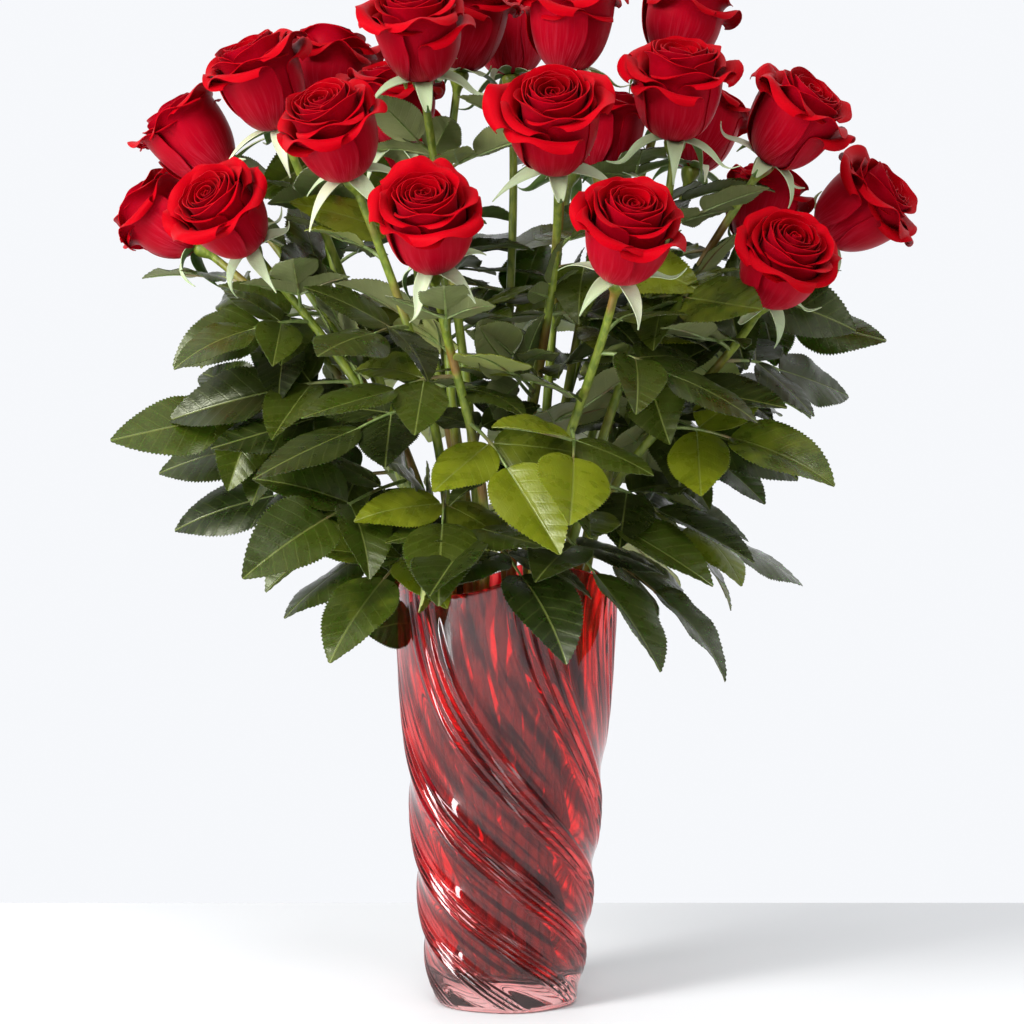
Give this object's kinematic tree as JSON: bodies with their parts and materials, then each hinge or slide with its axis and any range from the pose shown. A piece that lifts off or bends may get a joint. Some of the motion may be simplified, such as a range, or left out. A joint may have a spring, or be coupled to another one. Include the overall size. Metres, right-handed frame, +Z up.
{
  "type": "roses in a vase",
  "caption": "Bouquet of long-stemmed red roses with leafy stems, standing in a tall tapered glass vase with swirled ribs.",
  "frame": {"origin": "centre of the vase's flat foot, at the surface it stands on", "axes": "+Z up along the vase, -Y the front, where the lowest blooms lean forward, +X to the right seen from the front"},
  "size_m": [0.4755, 0.3627, 0.6026],
  "materials": {
    "ruby_glass": "polished",
    "petals": "matte",
    "foliage": "satin"
  },
  "bodies": {
    "root": {"vase": "ruby_glass", "rose_01_stem_and_leaves": "foliage", "rose_01_bloom": "petals", "rose_02_stem_and_leaves": "foliage", "rose_02_bloom": "petals", "rose_03_stem_and_leaves": "foliage", "rose_03_bloom": "petals", "rose_04_stem_and_leaves": "foliage", "rose_04_bloom": "petals", "rose_05_stem_and_leaves": "foliage", "rose_05_bloom": "petals", "rose_06_stem_and_leaves": "foliage", "rose_06_bloom": "petals", "rose_07_stem_and_leaves": "foliage", "rose_07_bloom": "petals", "rose_08_stem_and_leaves": "foliage", "rose_08_bloom": "petals", "rose_09_stem_and_leaves": "foliage", "rose_09_bloom": "petals", "rose_10_stem_and_leaves": "foliage", "rose_10_bloom": "petals", "rose_11_stem_and_leaves": "foliage", "rose_11_bloom": "petals", "rose_12_stem_and_leaves": "foliage", "rose_12_bloom": "petals", "rose_13_stem_and_leaves": "foliage", "rose_13_bloom": "petals", "rose_14_stem_and_leaves": "foliage", "rose_14_bloom": "petals", "rose_15_stem_and_leaves": "foliage", "rose_15_bloom": "petals", "rose_16_stem_and_leaves": "foliage", "rose_16_bloom": "petals", "rose_17_stem_and_leaves": "foliage", "rose_17_bloom": "petals", "rose_18_stem_and_leaves": "foliage", "rose_18_bloom": "petals", "rose_19_stem_and_leaves": "foliage", "rose_19_bloom": "petals", "rose_20_stem_and_leaves": "foliage", "rose_20_bloom": "petals", "rose_21_stem_and_leaves": "foliage", "rose_21_bloom": "petals", "rose_22_stem_and_leaves": "foliage", "rose_22_bloom": "petals", "rose_23_stem_and_leaves": "foliage", "rose_23_bloom": "petals", "rose_24_stem_and_leaves": "foliage", "rose_24_bloom": "petals"}
  },
  "joints": []
}
